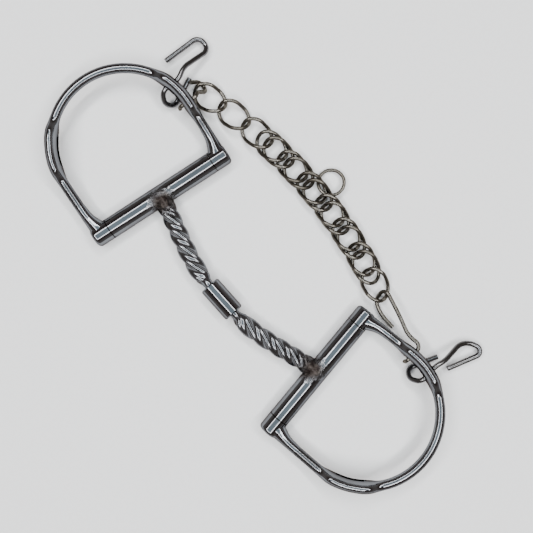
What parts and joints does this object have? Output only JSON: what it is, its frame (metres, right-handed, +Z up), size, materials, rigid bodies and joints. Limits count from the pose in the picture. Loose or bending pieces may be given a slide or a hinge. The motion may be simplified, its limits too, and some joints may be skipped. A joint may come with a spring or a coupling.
{
  "type": "curb bit",
  "caption": "Jointed barrel-mouth curb bit with slotted D cheeks, twisted mouth arms, open curb hooks and a flat-link curb chain carrying a lip-strap ring.",
  "frame": {"origin": "centre of the bit's overall box, on the surface it lies on", "axes": "+X across the mouthpiece, from the left cheek to the right cheek; +Y from the mouthpiece towards the curb chain; +Z up from the surface the bit lies on"},
  "size_m": [0.303, 0.1366, 0.0206],
  "materials": {
    "bit_metal": "mirror polished chrome plate",
    "hook_metal": "polished chrome plate",
    "chain_metal": "worn nickel plate, slightly dull and warm",
    "pin_metal": "plain turned steel"
  },
  "bodies": {
    "left_arm": {"left_mouth_arm": "bit_metal", "centre_spindle": "pin_metal"},
    "barrel": {"centre_barrel": "bit_metal"},
    "right_arm": {"right_mouth_arm": "bit_metal"},
    "left_cheek": {"left_cheek": "bit_metal", "left_hinge_pin": "pin_metal"},
    "right_cheek": {"right_cheek": "bit_metal", "right_hinge_pin": "pin_metal"},
    "left_open_hook": {"left_open_hook": "hook_metal"},
    "right_open_hook": {"right_open_hook": "hook_metal"},
    "left_chain_hook": {"left_chain_hook": "chain_metal"},
    "right_chain_hook": {"right_chain_hook": "chain_metal"},
    "chain_link_1": {"chain_link_1": "chain_metal"},
    "chain_link_2": {"chain_link_2": "chain_metal"},
    "chain_link_3": {"chain_link_3": "chain_metal"},
    "chain_link_4a": {"chain_link_4a": "chain_metal"},
    "chain_link_4b": {"chain_link_4b": "chain_metal"},
    "chain_link_5a": {"chain_link_5a": "chain_metal"},
    "chain_link_5b": {"chain_link_5b": "chain_metal"},
    "chain_link_6a": {"chain_link_6a": "chain_metal"},
    "chain_link_6b": {"chain_link_6b": "chain_metal"},
    "chain_link_7a": {"chain_link_7a": "chain_metal"},
    "chain_link_7b": {"chain_link_7b": "chain_metal"},
    "chain_link_8a": {"chain_link_8a": "chain_metal"},
    "chain_link_8b": {"chain_link_8b": "chain_metal"},
    "chain_link_9a": {"chain_link_9a": "chain_metal"},
    "chain_link_9b": {"chain_link_9b": "chain_metal"},
    "chain_link_10": {"chain_link_10": "chain_metal"},
    "fly_ring": {"fly_ring": "chain_metal"}
  },
  "joints": [
    {"name": "barrel_turn", "type": "hinge", "parent": "left_arm", "child": "barrel", "pos_m": [0, -0.03524, 0.0064], "axis": [1, 0, 0], "continuous": true},
    {"name": "right_arm_turn", "type": "hinge", "parent": "left_arm", "child": "right_arm", "pos_m": [0, -0.03524, 0.0064], "axis": [1, 0, 0], "range_deg": [-3, 3]},
    {"name": "left_cheek_swing", "type": "hinge", "parent": "left_arm", "child": "left_cheek", "pos_m": [-0.0698, -0.02144, 0.0064], "axis": [0.1513, 0.9885, 0], "range_deg": [-8, 15]},
    {"name": "right_cheek_swing", "type": "hinge", "parent": "right_arm", "child": "right_cheek", "pos_m": [0.0698, -0.02144, 0.0064], "axis": [0.1513, -0.9885, 0], "range_deg": [-8, 15]},
    {"name": "left_chain_hook_turn", "type": "hinge", "parent": "left_cheek", "child": "left_chain_hook", "pos_m": [-0.09962, 0.02764, 0.01028], "axis": [0.1513, 0.9885, 0], "range_deg": [-15, 8]},
    {"name": "right_chain_hook_turn", "type": "hinge", "parent": "right_cheek", "child": "right_chain_hook", "pos_m": [0.09863, 0.02749, 0.01017], "axis": [0.1513, -0.9885, 0], "range_deg": [-15, 8]},
    {"name": "left_open_hook_swing", "type": "hinge", "parent": "left_cheek", "child": "left_open_hook", "pos_m": [-0.11378, 0.02688, 0.00671], "axis": [-0.9773, -0.1878, 0.0985], "range_deg": [-6, 6]},
    {"name": "right_open_hook_swing", "type": "hinge", "parent": "right_cheek", "child": "right_open_hook", "pos_m": [0.11378, 0.02688, 0.00671], "axis": [-0.9773, 0.1878, -0.0985], "range_deg": [-6, 6]},
    {"name": "chain_link_1_bend", "type": "hinge", "parent": "left_chain_hook", "child": "chain_link_1", "pos_m": [-0.1009, 0.03693, 0.0038], "axis": [-0.2618, 0.9651, 0], "range_deg": [-1.35, 1.35]},
    {"name": "chain_link_2_bend", "type": "hinge", "parent": "chain_link_1", "child": "chain_link_2", "pos_m": [-0.08562, 0.04093, 0.0038], "axis": [-0.2318, 0.9728, 0], "range_deg": [-3, 5.62]},
    {"name": "chain_link_3_bend", "type": "hinge", "parent": "chain_link_2", "child": "chain_link_3", "pos_m": [-0.06839, 0.04448, 0.0038], "axis": [-0.1711, 0.9853, 0], "range_deg": [-2.2, 4.12]},
    {"name": "chain_link_4a_bend", "type": "hinge", "parent": "chain_link_3", "child": "chain_link_4a", "pos_m": [-0.05387, 0.04661, 0.0038], "axis": [-0.12, 0.9928, 0], "range_deg": [-0.8, 1.5]},
    {"name": "chain_link_4b_sway", "type": "hinge", "parent": "chain_link_4a", "child": "chain_link_4b", "pos_m": [-0.04529, 0.04752, 0.0038], "axis": [0, 0, 1], "range_deg": [-1.5, 1.5]},
    {"name": "chain_link_5a_bend", "type": "hinge", "parent": "chain_link_4b", "child": "chain_link_5a", "pos_m": [-0.03669, 0.04816, 0.0038], "axis": [-0.0595, 0.9982, 0], "range_deg": [-5.62, 3]},
    {"name": "chain_link_5b_sway", "type": "hinge", "parent": "chain_link_5a", "child": "chain_link_5b", "pos_m": [-0.02807, 0.04854, 0.0038], "axis": [0, 0, 1], "range_deg": [-3, 3]},
    {"name": "chain_link_6a_bend", "type": "hinge", "parent": "chain_link_5b", "child": "chain_link_6a", "pos_m": [-0.01945, 0.04866, 0.0038], "axis": [0.0012, 1, 0], "range_deg": [-5.62, 3]},
    {"name": "chain_link_6b_sway", "type": "hinge", "parent": "chain_link_6a", "child": "chain_link_6b", "pos_m": [-0.01083, 0.04852, 0.0038], "axis": [0, 0, 1], "range_deg": [-1.5, 1.5]},
    {"name": "chain_link_7a_bend", "type": "hinge", "parent": "chain_link_6b", "child": "chain_link_7a", "pos_m": [-0.00221, 0.04812, 0.0038], "axis": [0.0619, 0.9981, 0], "range_deg": [-3, 1.6]},
    {"name": "chain_link_7b_sway", "type": "hinge", "parent": "chain_link_7a", "child": "chain_link_7b", "pos_m": [0.00639, 0.04745, 0.0038], "axis": [0, 0, 1], "range_deg": [-1.5, 1.5]},
    {"name": "chain_link_8a_bend", "type": "hinge", "parent": "chain_link_7b", "child": "chain_link_8a", "pos_m": [0.01496, 0.04653, 0.0038], "axis": [0.1224, 0.9925, 0], "range_deg": [-8.25, 4.4]},
    {"name": "chain_link_8b_sway", "type": "hinge", "parent": "chain_link_8a", "child": "chain_link_8b", "pos_m": [0.02351, 0.04534, 0.0038], "axis": [0, 0, 1], "range_deg": [-3, 3]},
    {"name": "chain_link_9a_bend", "type": "hinge", "parent": "chain_link_8b", "child": "chain_link_9a", "pos_m": [0.03201, 0.0439, 0.0038], "axis": [0.1824, 0.9832, 0], "range_deg": [-3, 5.62]},
    {"name": "chain_link_9b_sway", "type": "hinge", "parent": "chain_link_9a", "child": "chain_link_9b", "pos_m": [0.04046, 0.0422, 0.0038], "axis": [0, 0, 1], "range_deg": [-1.5, 1.5]},
    {"name": "chain_link_10_bend", "type": "hinge", "parent": "chain_link_9b", "child": "chain_link_10", "pos_m": [0.04886, 0.04024, 0.0038], "axis": [0.2418, 0.9703, 0], "range_deg": [-3, 5.62]},
    {"name": "fly_ring_swing", "type": "hinge", "parent": "chain_link_6a", "child": "fly_ring", "pos_m": [-0.0128, 0.05331, 0.00213], "axis": [0.9578, 0, 0.2873], "range_deg": [-6, 6]}
  ],
  "couplings": [
    {"joint": "right_cheek_swing", "follows": "left_cheek_swing", "ratio": 1},
    {"joint": "left_chain_hook_turn", "follows": "left_cheek_swing", "ratio": -1},
    {"joint": "right_chain_hook_turn", "follows": "left_cheek_swing", "ratio": -1},
    {"joint": "chain_link_1_bend", "follows": "right_arm_turn", "ratio": -0.45},
    {"joint": "chain_link_2_bend", "follows": "left_cheek_swing", "ratio": 0.375},
    {"joint": "chain_link_3_bend", "follows": "left_cheek_swing", "ratio": 0.275},
    {"joint": "chain_link_4a_bend", "follows": "left_cheek_swing", "ratio": 0.1},
    {"joint": "chain_link_5a_bend", "follows": "left_cheek_swing", "ratio": -0.375},
    {"joint": "chain_link_5b_sway", "follows": "chain_link_4b_sway", "ratio": -2},
    {"joint": "chain_link_6a_bend", "follows": "left_cheek_swing", "ratio": -0.375},
    {"joint": "chain_link_6b_sway", "follows": "chain_link_4b_sway", "ratio": 1},
    {"joint": "chain_link_7a_bend", "follows": "left_cheek_swing", "ratio": -0.2},
    {"joint": "chain_link_8a_bend", "follows": "left_cheek_swing", "ratio": -0.55},
    {"joint": "chain_link_8b_sway", "follows": "chain_link_7b_sway", "ratio": -2},
    {"joint": "chain_link_9a_bend", "follows": "left_cheek_swing", "ratio": 0.375},
    {"joint": "chain_link_9b_sway", "follows": "chain_link_7b_sway", "ratio": 1},
    {"joint": "chain_link_10_bend", "follows": "left_cheek_swing", "ratio": 0.375}
  ]
}
